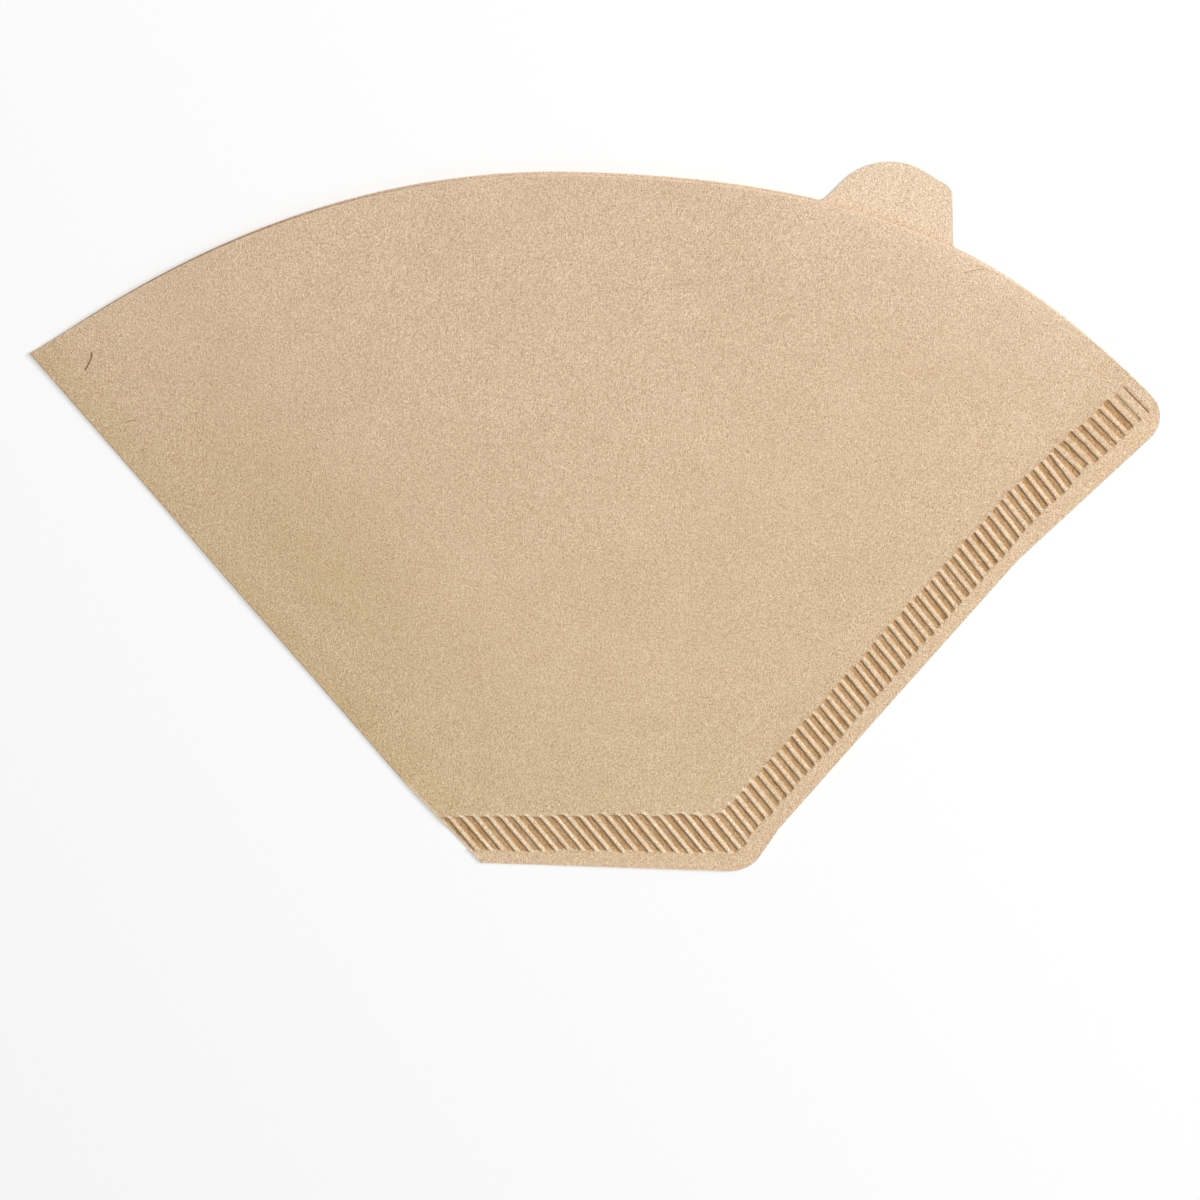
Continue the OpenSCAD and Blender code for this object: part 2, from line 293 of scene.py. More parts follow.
# %% [markdown]
# Every real bar differs a little. The rollers leave its ends a few tenths of a millimetre off
# the row, more so on the foot. At the mouth they run off the paper: the last bar but two is
# deep and wide, and the last two are narrow and shallow.

# %% Small differences from bar to bar
# Scatter of a bar's ends, its drift across the row, its extra width and its turn in degrees
SCATTER = {"foot": 0.2, "side": 0.12, "mouth": 0.2}
DRIFT = {"foot": 0.02, "side": 0.17, "mouth": 0.08}
WIDER = {"foot": 0.08, "side": 0.0, "mouth": 0.05}
TURN = {"foot": -0.9, "side": 0.0, "mouth": 0.0}
SIDE_BOW = 0.25
DEPTH_SPREAD, WIDTH_SPREAD, TURN_SPREAD, SHIFT_SPREAD = 0.05, 0.04, 0.35, 0.03
# Depth, width and drift of the last bars, counted from the end
LAST_BARS = {1: (0.75, 0.42, 0.5), 2: (0.6, 0.8, 0.28), 3: (1.12, 1.3, 0.0)}


def drawn(spread):
    return spread * float(rng.normal())


bar_kit = []
for i, (s, lean, pitch, where) in enumerate(bars):
    share = (s - seam_start) / (seam_bars * SEAM_PITCH)
    drift = DRIFT[where] + (SIDE_BOW * math.sin(math.pi * share) if where == "side" else 0.0)
    depth = 1.0 + drawn(DEPTH_SPREAD)
    width = GROOVE_W + WIDER[where] + drawn(WIDTH_SPREAD)
    if len(bars) - i in LAST_BARS:
        depth, width, drift = LAST_BARS[len(bars) - i]
    bar_kit.append(
        {
            "s": s,
            "lean": lean,
            "pitch": pitch,
            "where": where,
            "outer": drawn(SCATTER[where]),
            "inner": drawn(SCATTER[where]),
            "turn": math.radians(drawn(TURN_SPREAD) + TURN[where]),
            "shift": drawn(SHIFT_SPREAD) + drift,
            "width": width,
            "depth": depth,
        }
    )
print("first bar:", bar_kit[0])

# %% [markdown]
# What the press did is written as fields over the sheet, from 0 to about 1: how deep a point
# is in a groove, whose darker tone is partly the pressed paper's own and partly painted shade,
# how much painted highlight it gets on a ridge, and how much painted shade it gets by a wall.
# Masks painted into a texture would need an image. These fields are formulas of the distance to
# a bar's edge, so they are exact.

# %% How far a point is from a bar's edge
CORNER_R = 0.28


def bar_frame(bar, p):
    """Across, from the groove's middle, and the two ends' distances along it, of points p."""
    q = turned(p, bar["lean"])
    mid = bar["s"] + bar["shift"] + bar["width"] / 2
    s = q[:, 0]
    low = guide_at(outer_guide, s, bar["lean"]) + bar["outer"]
    high = guide_at(inner_guide, s, bar["lean"]) + bar["inner"]
    across = s - mid + (q[:, 1] - (low + high) / 2) * math.tan(bar["turn"])
    return across, q[:, 1] - low, high - q[:, 1]


def end_factor(path, s, lean):
    """The share of a step along the bar that is a step square to the guide."""
    d = guide_at(path, s + 0.5, lean) - guide_at(path, s - 0.5, lean)
    return 1 / math.hypot(1, d)


def box_distance(across, above, below, half_w, lo_f, hi_f):
    """Distance to a rounded box: below zero inside it."""
    du = np.abs(across) - half_w + CORNER_R
    dv = np.maximum(-above * lo_f, -below * hi_f) + CORNER_R
    outside = np.hypot(np.maximum(du, 0), np.maximum(dv, 0))
    return outside + np.minimum(np.maximum(du, dv), 0) - CORNER_R


def smooth(x, lo, hi):
    t = np.clip((x - lo) / (hi - lo), 0, 1)
    return t * t * (3 - 2 * t)


# %% Sizes of the fields, in millimetres
WALL, WALL_TOP, UNDER_TOP = 0.2, 0.03, 0.05
REACH, TURN_OVERLAP = 1.3, 1.5
FRAY, FRAY_ACROSS, FRAY_ALONG, FRAY_BEND = 0.03, 9.1, 3.7, 3
UNDER_SHARE = 0.7
END_FADE = (-0.1, 0.25)
# Where painted shade falls in a groove, and where painted highlights lie on a ridge.
SIDE_SHADE_W, RIGHT_SHADE_IN, LEFT_SHADE_IN, LEFT_SHADE = 0.12, 0.02, 0.12, 0.6
END_SHADE, END_SHADE_IN, END_SHADE_W = 0.5, 0.03, 0.14
RIDGE_LIGHT = {"foot": 1.3, "side": 0.85, "mouth": 0.45}
CREST_RIGHT, CREST_W = 0.14, 0.2
KNOB_LIGHT = {"foot": 1.2, "side": 0.0, "mouth": 0.0}
KNOB_LONG, KNOB_WIDE = 0.4, 0.3
LIP_OUT, LIP_SPREAD, LIP_INNERMOST, LIP_ENDS = 0.12, 0.035, -0.02, 0.15


def bell(x, width):
    return np.exp(-((x / width) ** 2))


# %% Fields of the crimp at any points
def crimp_fields(p):
    """Groove, ridge underside, lip, painted wall shade and painted ridge highlight of the crimp at
    points p.
    """
    fields = {key: np.zeros(len(p)) for key in ("groove", "under", "lip", "shade", "crest")}
    for bar in bar_kit:
        s = turned(p, bar["lean"])[:, 0]
        near = np.where(np.abs(s - bar["s"] - bar["pitch"] / 2) < bar["pitch"] * REACH)[0]
        if bar["lean"] != FOLD_LEAN:
            near = near[turned(p[near], FOLD_LEAN)[:, 0] > turn_mid_s - TURN_OVERLAP]
        if not len(near):
            continue
        a, lo, hi = bar_frame(bar, p[near])
        lo_f = end_factor(outer_guide, bar["s"], bar["lean"])
        hi_f = end_factor(inner_guide, bar["s"], bar["lean"])
        half = bar["width"] / 2
        bend = FRAY_BEND * np.sin(p[near, 1] * FRAY_ALONG)
        fray = FRAY * np.sin(p[near, 0] * FRAY_ACROSS + bend)
        d = box_distance(a, lo, hi, half, lo_f, hi_f) + fray
        groove = (1 - smooth(d, -WALL, WALL_TOP)) * bar["depth"]
        ridge_half = (bar["pitch"] - bar["width"]) / 2
        off_ridge = a - half - ridge_half
        du = box_distance(off_ridge, lo, hi, ridge_half * UNDER_SHARE, lo_f, hi_f)
        between_ends = smooth(lo * lo_f, *END_FADE) * smooth(hi * hi_f, *END_FADE)
        right_wall = bell(a - half + RIGHT_SHADE_IN, SIDE_SHADE_W)
        left_wall = LEFT_SHADE * bell(a + half - LEFT_SHADE_IN, SIDE_SHADE_W)
        inner_end = END_SHADE * bell(hi * hi_f - END_SHADE_IN, END_SHADE_W) * (np.abs(a) < half)
        wall = (right_wall + left_wall) * between_ends + inner_end
        # Painted highlights: the lit side of each ridge, and the upper ends of the foot's ridges.
        top = bell(off_ridge - CREST_RIGHT, CREST_W) * between_ends * RIDGE_LIGHT[bar["where"]]
        end_highlight = bell(hi * hi_f, KNOB_LONG) * bell(off_ridge, KNOB_WIDE) * KNOB_LIGHT[bar["where"]]
        lip = np.exp(-((np.maximum(d, 0) - LIP_OUT) ** 2) / LIP_SPREAD) * bar["depth"]
        lip *= (np.minimum(lo, hi) < LIP_ENDS) & (d > LIP_INNERMOST)
        for key, value in (
            ("groove", groove),
            ("under", 1 - smooth(du, -WALL, UNDER_TOP)),
            ("lip", lip),
            ("shade", wall * min(1.0, bar["depth"])),
            ("crest", np.maximum(top, end_highlight)),
        ):
            fields[key][near] = np.maximum(fields[key][near], value)
    return fields


row_middle = (guide_at(outer_guide, 0.0, FOLD_LEAN) + guide_at(inner_guide, 0.0, FOLD_LEAN)) / 2
trial = unturned(np.array([[x, row_middle] for x in (0.0, SEAM_PITCH / 2)]), FOLD_LEAN)
print("groove depth at two trial points:", crimp_fields(trial)["groove"].round(2))

# %% [markdown]
# ## The points of the mesh
# The mesh gets its points in rows that follow each bar, so that walls and ends stay crisp, and
# plain points in a triangular grid everywhere else.


# %% Whether points lie in an outline
FAR = 1e9


def inside(p, loop, margin):
    """Whether points lie in a loop, and at least a margin off its edge."""
    a, b = loop, np.roll(loop, -1, 0)
    hit = np.zeros(len(p), bool)
    near = np.full(len(p), FAR)
    for (ax, ay), (bx, by) in zip(a, b):
        cross = (ay > p[:, 1]) != (by > p[:, 1])
        if ay != by:
            hit ^= cross & (p[:, 0] < (bx - ax) * (p[:, 1] - ay) / (by - ay) + ax)
        ex, ey = bx - ax, by - ay
        t = np.clip(((p[:, 0] - ax) * ex + (p[:, 1] - ay) * ey) / (ex * ex + ey * ey), 0, 1)
        near = np.minimum(near, np.hypot(p[:, 0] - ax - t * ex, p[:, 1] - ay - t * ey))
    return hit & (near > margin)


# %% Points for the crimp
FINE_WALL = np.array([-0.07, 0.0, 0.07, 0.14, 0.22, 0.34])
COARSE_WALL = np.array([-0.04, 0.2])
BAR_END = np.array([-0.75, -0.45, -0.22, -0.04, 0.13, 0.33])
MIDDLE_ROWS, FIRST_COLUMN = 11, -0.3
EDGE_ROOM, TURN_ROOM = 0.18, 0.1


def bar_columns(wall):
    """A column of points along every wall, floor and ridge of the bars."""
    found = []
    for k, bar in enumerate(bar_kit):
        w, pitch = bar["width"], bar["pitch"]
        ridge = pitch - w
        places = [*wall, w / 2, *(w - wall[::-1]), w + ridge / 2]
        if k == 0:
            places = [FIRST_COLUMN] + places
        lo_f = end_factor(outer_guide, bar["s"], bar["lean"])
        hi_f = end_factor(inner_guide, bar["s"], bar["lean"])
        for place in places:
            s = bar["s"] + bar["shift"] + place
            low = guide_at(outer_guide, s, bar["lean"]) + bar["outer"]
            high = guide_at(inner_guide, s, bar["lean"]) + bar["inner"]
            ends_lo, ends_hi = low + BAR_END / lo_f, high - BAR_END[::-1] / hi_f
            between = np.linspace(ends_lo[-1], ends_hi[0], MIDDLE_ROWS)[1:-1]
            v = np.concatenate([ends_lo, between, ends_hi])
            a = (v - (low + high) / 2) * math.tan(bar["turn"])
            column = unturned(np.stack([s - a, v], -1), bar["lean"])
            if bar["where"] != "mouth":
                column = column[turned(column, TURNED_LEAN)[:, 0] < turned_start - TURN_ROOM]
            found.append(column)
    kept = inside(np.vstack(found), front_edge, EDGE_ROOM)
    cuts = np.cumsum([len(column) for column in found])[:-1]
    return [column[k] for column, k in zip(found, np.split(kept, cuts))]


def hex_points(step, low, high):
    """A triangular grid of points over a box."""
    xs = np.arange(low[0], high[0], step)
    ys = np.arange(low[1], high[1], step * math.sqrt(3) / 2)
    x, y = np.meshgrid(xs, ys)
    x[1::2] += step / 2
    return np.stack([x.ravel(), y.ravel()], -1)


columns, coarse_columns = bar_columns(FINE_WALL), bar_columns(COARSE_WALL)
print("crimp columns:", len(columns), "points:", sum(len(c) for c in columns))


# %% Join each column, and leave out points that crowd an earlier one
def joined(columns, gap):
    """(points, lines) of the columns, with no two points closer than a gap."""
    cells, points, lines = {}, [], []
    for column in columns:
        last = None
        for x, y in column:
            cx, cy = int(x // gap), int(y // gap)
            crowd = [
                points[k]
                for gx in (cx - 1, cx, cx + 1)
                for gy in (cy - 1, cy, cy + 1)
                for k in cells.get((gx, gy), ())
            ]
            if any((a - x) ** 2 + (b - y) ** 2 < gap * gap for a, b in crowd):
                last = None
                continue
            cells.setdefault((cx, cy), []).append(len(points))
            points.append((x, y))
            if last is not None:
                lines.append((last, len(points) - 1))
            last = len(points) - 1
    return np.array(points), lines


# %% Fill the rest of an outline with a plain grid
GRID_ROOM, INSET_ROOM = 0.45, 0.8
RING_DEPTHS = (0.2, 0.5)
FINE_GAP, COARSE_GAP = 0.05, 0.08
OUTER_GRID, FRONT_INNER_GRID, REAR_INNER_GRID = 1.3, 2.2, 2.0


def with_grid(fine, loop, step):
    """The fine points, and grid points in the loop that keep off them."""
    grid = hex_points(step, loop.min(0), loop.max(0))
    grid = grid[inside(grid, loop, GRID_ROOM * step)]
    if not len(fine):
        return grid
    taken = {(int(x // step), int(y // step)) for x, y in fine}

    def is_free(x, y):
        cx, cy = int(x // step), int(y // step)
        return not any((cx + i, cy + j) in taken for i in (-1, 0, 1) for j in (-1, 0, 1))

    free = [is_free(x, y) for x, y in grid]
    return np.vstack([fine, grid[free]])


def inset(edge, d):
    """Points a small distance in from an outline that runs clockwise."""
    along = np.roll(edge, -1, 0) - np.roll(edge, 1, 0)
    along /= np.linalg.norm(along, axis=1)[:, None]
    p = edge + d * np.stack([along[:, 1], -along[:, 0]], -1)
    return p[inside(p, edge, INSET_ROOM * d)]


def rings(edge):
    return np.vstack([inset(edge, d) for d in RING_DEPTHS])


crimp_points, crimp_lines = joined(columns, FINE_GAP)
coarse_points, coarse_lines = joined(coarse_columns, COARSE_GAP)
front_points = with_grid(np.vstack([crimp_points, rings(front_edge)]), front_edge, OUTER_GRID)
rear_points = with_grid(coarse_points, rear_edge, OUTER_GRID)
front_inner = with_grid(np.zeros((0, 2)), front_edge, FRONT_INNER_GRID)
rear_inner = with_grid(rings(rear_edge), rear_edge, REAR_INNER_GRID)
print("points:", len(front_points), len(rear_points), len(front_inner), len(rear_inner))


# %% Triangulate a sheet inside its outline
def triangles(edge, points, lines=()):
    """(all points, triangles) of a sheet. The first points are the edge, in order, and the
    lines between the other points stay edges of the mesh."""
    # Mode 1 of the triangulation keeps what lies inside the closed ring.
    n = len(edge)
    ring = [(i, (i + 1) % n) for i in range(n)] + [(a + n, b + n) for a, b in lines]
    verts = [Vector(p) for p in np.vstack([edge, points])]
    placed, _, faces, origin, _, _ = delaunay_2d_cdt(verts, ring, [list(range(n))], 1, 1e-6)
    ids = np.array([min([o for o in old if o < n], default=-1) for old in origin])
    rest = np.where(ids < 0)[0]
    ids[rest] = n + np.arange(len(rest))
    flat = np.vstack([edge, [placed[i] for i in rest]])
    tris = ids[np.array(faces)]
    u, v = flat[tris[:, 1]] - flat[tris[:, 0]], flat[tris[:, 2]] - flat[tris[:, 0]]
    wrong = u[:, 0] * v[:, 1] - u[:, 1] * v[:, 0] < 0
    tris[wrong] = tris[wrong][:, ::-1]
    return flat, tris


sheets = {
    "front_top": triangles(front_edge, front_points, crimp_lines),
    "front_under": triangles(front_edge, front_inner),
    "rear_top": triangles(rear_edge, rear_inner),
    "rear_under": triangles(rear_edge, rear_points, coarse_lines),
}
print({name: len(t) for name, (_, t) in sheets.items()})

# %% [markdown]
# ## Heights
# The plies are pressed together along the fold, the foot and the crimps. Between them the front
# ply swells a little, like a very shallow cone, so that the mouth stands just ajar. On top of
# that come the grooves, and the slow waves that any thin paper has.

# %% Swelling of the front ply
MOUTH_GAPE, FOOT_RISE = 1.3, 2.2
SWELL_ROOM = 0.3
BLEND, BLEND_FROM = 0.25, -1
START_SWELL, FULL_SWELL = -0.01, 0.12
swell_guide = guide(CRIMP_W + SWELL_ROOM)
fold_in = pt(SWELL_ROOM / math.cos(math.radians(FOLD_LEAN)), 0)
cone_tip = crossing(fold_knee + fold_in, fold_top + fold_in, swell_guide[1], swell_guide[2])
half_fan = math.radians((FOLD_LEAN + ROW_LEAN) / 2)
fan_turn = math.radians((FOLD_LEAN - ROW_LEAN) / 2)
lift = math.atan(MOUTH_GAPE / np.linalg.norm(crown - cone_tip))
tilt = math.atan(math.sin(lift) / (math.cos(lift) - math.cos(half_fan)))
foot_line = polar(90 + FOOT_SKEW)


def swelling(p):
    """The front ply's rise: a shallow cone, blended into a ramp up from the foot."""
    q = p - cone_tip
    rho, phi = np.hypot(q[:, 0], q[:, 1]), np.arctan2(-q[:, 0], q[:, 1]) - fan_turn
    cone = rho * (math.tan(tilt) * np.cos(phi) - math.tan(tilt - lift))
    ramp = (p - swell_guide[1]) @ foot_line * math.tan(math.radians(FOOT_RISE))
    low = np.minimum(cone, ramp)
    both = np.exp(-(cone - low) / BLEND) + np.exp(-(ramp - low) / BLEND)
    rise = np.where(low > BLEND_FROM, low - BLEND * np.log(both), low)
    return np.where(rise > 0, rise * smooth(rise, START_SWELL, FULL_SWELL), 0)


print("tallest swelling:", swelling(np.array([crown]))[0].round(2), "mm")

# %% Slow waves of the whole sheet
WAVE_HEIGHT, WAVE_LIFT = 0.06, 1.5
LONG_X, LONG_BEND, LONG_Y, SHORT_X, SHORT_Y = 17, 23, 19, 9, 13


def waves(p):
    """Slow unevenness of the whole sheet, at most a fifth of a millimetre."""
    x, y = p[:, 0], p[:, 1]
    long_wave = np.sin(x / LONG_X + 1.1 * np.sin(y / LONG_BEND)) * np.sin(y / LONG_Y + 0.7)
    short_wave = np.sin(x / SHORT_X - y / SHORT_Y)
    return WAVE_HEIGHT * (WAVE_LIFT + (long_wave + 0.5 * short_wave))


print("waves:", waves(front_edge).min().round(2), "to", waves(front_edge).max().round(2), "mm")

# %% Heights of the four faces
DEPTH, UNDER_DEPTH = 0.19, 0.13
LIP = 0.05
MEETING, HALF_GAP = 0.165, 0.004


def heights(name, p):
    """Height of one face at points p, in millimetres, and its crimp fields."""
    f = crimp_fields(p)
    w = waves(p)
    if name == "front_top":
        return w + (2 * PLY - DEPTH * f["groove"] + LIP * f["lip"]) + swelling(p), f
    if name == "front_under":
        return w + MEETING + HALF_GAP + swelling(p), f
    if name == "rear_top":
        return w + MEETING - HALF_GAP, f
    return w + UNDER_DEPTH * f["under"], f


# %% [markdown]
# ## Fields for the paper's tones and painted light
# The material needs to know where the paper is pressed, where painted light goes on the cut edge,
# the rim and the inner face, where painted shade lies along the fold, and where the margin is
# bare.
# Vertex groups could say it. Float attributes do it on every face at once, and the shader reads
# them by name.


# %% Distances to the outline and to the row
def line_distance(p, path):
    """How far points lie on the left of a path, by its nearest stretch."""
    best = np.full(len(p), FAR)
    for a, b in zip(path, path[1:]):
        u = (b - a) / np.linalg.norm(b - a)
        off = u[0] * (p - a)[:, 1] - u[1] * (p - a)[:, 0]
        best = np.where(np.abs(off) < np.abs(best), off, best)
    return best


def edge_distance(p, edge):
    """How far points are from an outline."""
    near = np.full(len(p), FAR)
    for a, b in zip(edge, np.roll(edge, -1, 0)):
        u = b - a
        t = np.clip(((p - a) @ u) / (u @ u), 0, 1)[:, None]
        near = np.minimum(near, np.linalg.norm(p - a - t * u, axis=1))
    return near


# %% Painted light and shade, and tones that don't come from the crimp
# Painted shade: a darker, yellower band along the fold and a soft patch beside it.
FOLD_SHADE_PATCH, FOLD_SHADE_SIZE, FOLD_SHADE = pt(-52.0, 58.0), pt(13.0, 34.0), 0.75
FOLD_SHADE_W = 7
CREASE_W, CREASE_X, CREASE_FROM, CREASE_FADE = 0.3, 3, 0.6, 3
# Painted light: the front ply is lightened in a band below the rim.
RIM_LIGHT_W, RIM_LEFT, RIM_RIGHT, RIM_UP = 5, (5, 50), (-85, -62), (70, 95)
MARGIN_FADE = (-0.2, 0.6)
# Width of the painted highlight along the cut edges.
CUT_W = 0.12


def crease_highlight(flat, off_cut):
    """A painted highlight on the edge where the fold runs beside the crimp."""
    by_fold = (flat[:, 0] < fold_foot[0] + CREASE_X) & (flat[:, 1] > CREASE_FROM)
    below = smooth(FOLD_KNEE_H + CREASE_FADE - flat[:, 1], 0, CREASE_FADE)
    return bell(off_cut, CREASE_W) * by_fold * below


def tones_and_painted_light(name, flat, off_cut):
    """Painted light by the rim, painted light on the inner side, painted shade along the fold, the
    margin's own tone and a painted highlight on the cut, of one face, each 0 to 1.
    """
    outer_face = name in ("front_top", "rear_under")
    # Painted light near the rim, on the front ply's upper face only.
    rim_painted_light = smooth(flat[:, 0], *RIM_LEFT) * smooth(-flat[:, 0], *RIM_RIGHT)
    rim_painted_light *= np.exp(-off_cut / RIM_LIGHT_W) * smooth(flat[:, 1], *RIM_UP)
    off_fold = turned(flat, FOLD_LEAN)[:, 0] - turned(fold_knee, FOLD_LEAN)[0]
    from_fold_shade = turned(flat - FOLD_SHADE_PATCH, FOLD_LEAN) / FOLD_SHADE_SIZE
    fold_patch_shade = FOLD_SHADE * np.exp(-(from_fold_shade**2).sum(1))
    in_margin = np.maximum(
        smooth(-line_distance(flat, outer_guide[1:]), *MARGIN_FADE),
        smooth(-line_distance(flat, outer_guide[:2]), *MARGIN_FADE),
    )
    return {
        "rim": rim_painted_light * (name == "front_top"),
        # Painted light: the rear ply's upper face, seen at the tab and behind the rim, is
        # lightened.
        "inner": np.full(len(flat), float(name == "rear_top")),
        # Painted shade along the fold and in the patch beside it.
        "fold": np.maximum(np.exp(-np.maximum(off_fold, 0) / FOLD_SHADE_W), fold_patch_shade),
        "margin": in_margin * outer_face,
        # Painted highlight along the cut edges, but not along the fold.
        "cut": np.exp(-off_cut / CUT_W) * (off_fold > SWELL_ROOM),
    }


# %% Points and fields of the four faces
# The crimp's groove tone, painted shade and painted highlight, on the outer faces.
PRESS_SHARE = {"front_top": 1.0, "rear_under": 0.6}
PRESSED_AND_PAINTED_FIELDS = ("groove", "shade", "crest")
verts, starts, count = [], {}, 0
fields = {key: [] for key in (*PRESSED_AND_PAINTED_FIELDS, "rim", "inner", "fold", "margin", "cut")}
for name, (flat, _) in sheets.items():
    z, f = heights(name, flat)
    starts[name] = count
    count += len(flat)
    verts.append(np.column_stack([flat - middle, z]))
    off_cut = edge_distance(flat, front_edge if name.startswith("front") else rear_edge)
    # A painted highlight on the fold's edge beside the crimp, in place of the groove tone.
    crease_light = crease_highlight(flat, off_cut)
    f["crest"] = np.maximum(f["crest"], crease_light)
    f["groove"] = f["groove"] * (1 - crease_light)
    for key in PRESSED_AND_PAINTED_FIELDS:
        fields[key].append(PRESS_SHARE.get(name, 0.0) * f[key])
    for key, values in tones_and_painted_light(name, flat, off_cut).items():
        fields[key].append(values)
print("points in all:", count)

# %% [markdown]
# ## Closing the sheet
# Each ply gets its cut edge, a wall from its upper to its under face. Along the fold there is
# no cut: the outer faces meet in a half round, and the inner faces meet at the crease.

# %% Faces and cut edges
faces = []
for name, (_, tris) in sheets.items():
    tris = tris + starts[name]
    up = name in ("front_top", "rear_top")
    faces += (tris if up else tris[:, ::-1]).tolist()


def edge_walls(top_name, low_name, edge, fold_n):
    """Walls round a ply's edge, apart from its last fold_n segments."""
    n = len(edge)
    t0, l0 = starts[top_name], starts[low_name]
    for i in range(n - fold_n):
        j = (i + 1) % n
        faces.append([t0 + j, t0 + i, l0 + i, l0 + j])


fold_n = len(front_edge) - int(np.argmin(np.linalg.norm(front_edge - left[0], axis=1)))
edge_walls("front_top", "front_under", front_edge, fold_n)
edge_walls("rear_top", "rear_under", rear_edge, fold_n)
print("faces:", len(faces), "fold segments:", fold_n)


# %% The fold
def fold_ids(name, edge):
    """The points of one face along the fold, from the foot to the rim."""
    n = len(edge)
    return [starts[name] + (n - fold_n + k) % n for k in range(fold_n + 1)]


FOLD_STEPS = 5
ring_ids = []
all_verts = np.vstack(verts)
extra, extra_from = [], []
for a, b in zip(fold_ids("front_top", front_edge), fold_ids("rear_under", rear_edge)):
    top_p, low_p = all_verts[a], all_verts[b]
    mid_z, r = (top_p[2] + low_p[2]) / 2, (top_p[2] - low_p[2]) / 2
    ids = [a]
    for m in range(1, FOLD_STEPS):
        t = math.pi * m / FOLD_STEPS
        extra.append([top_p[0] - r * math.sin(t), top_p[1], mid_z + r * math.cos(t)])
        extra_from.append(a if t < math.pi / 2 else b)
        ids.append(count + len(extra) - 1)
    ring_ids.append(ids + [b])
for a, b in zip(ring_ids, ring_ids[1:]):
    for m in range(FOLD_STEPS):
        faces.append([a[m], b[m], b[m + 1], a[m + 1]])
crease_f, crease_r = fold_ids("front_under", front_edge), fold_ids("rear_top", rear_edge)
for k in range(fold_n):
    faces.append([crease_f[k + 1], crease_f[k], crease_r[k], crease_r[k + 1]])
faces.append(ring_ids[0] + [crease_r[0], crease_f[0]])
faces.append(ring_ids[-1][::-1] + [crease_f[-1], crease_r[-1]])
all_verts = np.vstack([all_verts, np.array(extra)])
print("faces with the fold:", len(faces))

# %% The mesh itself
SHARP_FROM = 78
mesh = bpy.data.meshes.new("filter_paper")
mesh.from_pydata((all_verts * MM).tolist(), [], faces)
mesh.update()
mesh.polygons.foreach_set("use_smooth", [True] * len(mesh.polygons))
mesh.set_sharp_from_angle(angle=math.radians(SHARP_FROM))
for key, values in fields.items():
    flat_values = np.concatenate(values)
    data = np.concatenate([flat_values, flat_values[extra_from]]).astype(np.float32)
    mesh.attributes.new(key, "FLOAT", "POINT").data.foreach_set("value", data)
bad = mesh.validate(verbose=False)
paper = bpy.data.objects.new("filter_paper", mesh)
bpy.context.scene.collection.objects.link(paper)
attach(paper, "root")
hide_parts("filter")
print("mesh:", len(mesh.vertices), "points,", len(mesh.polygons), "faces, mended:", bad)

# %% [markdown]
# ## The paper
# Unbleached crepe paper is a felt of short brown fibres. Seen close it is mottled at a third
# of a millimetre, with stray light and dark fibres and a slow clouding. An image could carry
# that, but noise textures keep it sharp at any distance. Each effect is a group of its own,
# which puts out a mask or a height, and the material mixes them.


# %% Helpers for shader groups
def socket(group, name, kind, out=False, value=None):
    s = group.interface.new_socket(
        name=name, in_out="OUTPUT" if out else "INPUT", socket_type=kind
    )
    if value is not None:
        s.default_value = value
    return s


class Graph:
    """A few short words for building a node tree."""

    def __init__(self, tree):
        self.tree = tree

    def node(self, kind, inputs=None, **settings):
        n = self.tree.nodes.new(kind)
        for key, value in settings.items():
            setattr(n, key, value)
        for key, value in (inputs or {}).items():
            if isinstance(value, bpy.types.NodeSocket):
                self.tree.links.new(value, n.inputs[key])
            else:
                n.inputs[key].default_value = value
        return n

    def math(self, op, a, b, clamp=False):
        return self.node("ShaderNodeMath", {0: a, 1: b}, operation=op, use_clamp=clamp).outputs[0]

    def vector(self, op, a, b):
        """A vector worked out from two others."""
        return self.node("ShaderNodeVectorMath", {0: a, 1: b}, operation=op).outputs[0]

    def turned(self, vector, angle):
        """A vector turned about the upright axis."""
        inputs = {"Vector": vector, "Angle": angle}
        return self.node("ShaderNodeVectorRotate", inputs, rotation_type="Z_AXIS").outputs[0]

    def millimetres(self):
        """The object's own coordinates, in millimetres."""
        place = self.node("ShaderNodeTexCoord").outputs["Object"]
        inputs = {0: place, "Scale": 1 / MM}
        return self.node("ShaderNodeVectorMath", inputs, operation="SCALE").outputs[0]

    def remap(self, value, lo, hi, out_lo=0.0, out_hi=1.0):
        return self.node(
            "ShaderNodeMapRange",
            {"Value": value, 1: lo, 2: hi, 3: out_lo, 4: out_hi},
            clamp=True,
        ).outputs[0]

    def noise(self, vector, scale, detail=2.0, roughness=0.5, distortion=0.0):
        return self.node(
            "ShaderNodeTexNoise",
            {
                "Vector": vector,
                "Scale": scale,
                "Detail": detail,
                "Roughness": roughness,
                "Distortion": distortion,
            },
        ).outputs[0]

    def mix(self, factor, a, b, blend="MIX"):
        n = self.node("ShaderNodeMix", data_type="RGBA", blend_type=blend)
        for i, value in ((0, factor), (6, a), (7, b)):
            if isinstance(value, bpy.types.NodeSocket):
                self.tree.links.new(value, n.inputs[i])
            else:
                n.inputs[i].default_value = value
        return n.outputs[2]


def new_group(name):
    group = bpy.data.node_groups.new(name, "ShaderNodeTree")
    return group, Graph(group)


print("helpers:", [word for word in vars(Graph) if not word.startswith("_")])

# %% Crepe felt: short strands that lie every way, pressed into each other
FELT_LAYERS, CREPE_ANGLE = 5, 137.0
STRAND_LENGTH, STRAND_WIDTH = 0.37, 0.13
FIRST_LAYER_PROUD, LAYER_SHIFT = 0.04, (17.3, 9.1, 3.7)
FELT_LOW, FELT_HIGH, CLOUD_SCALE = 0.44, 0.8, 0.07

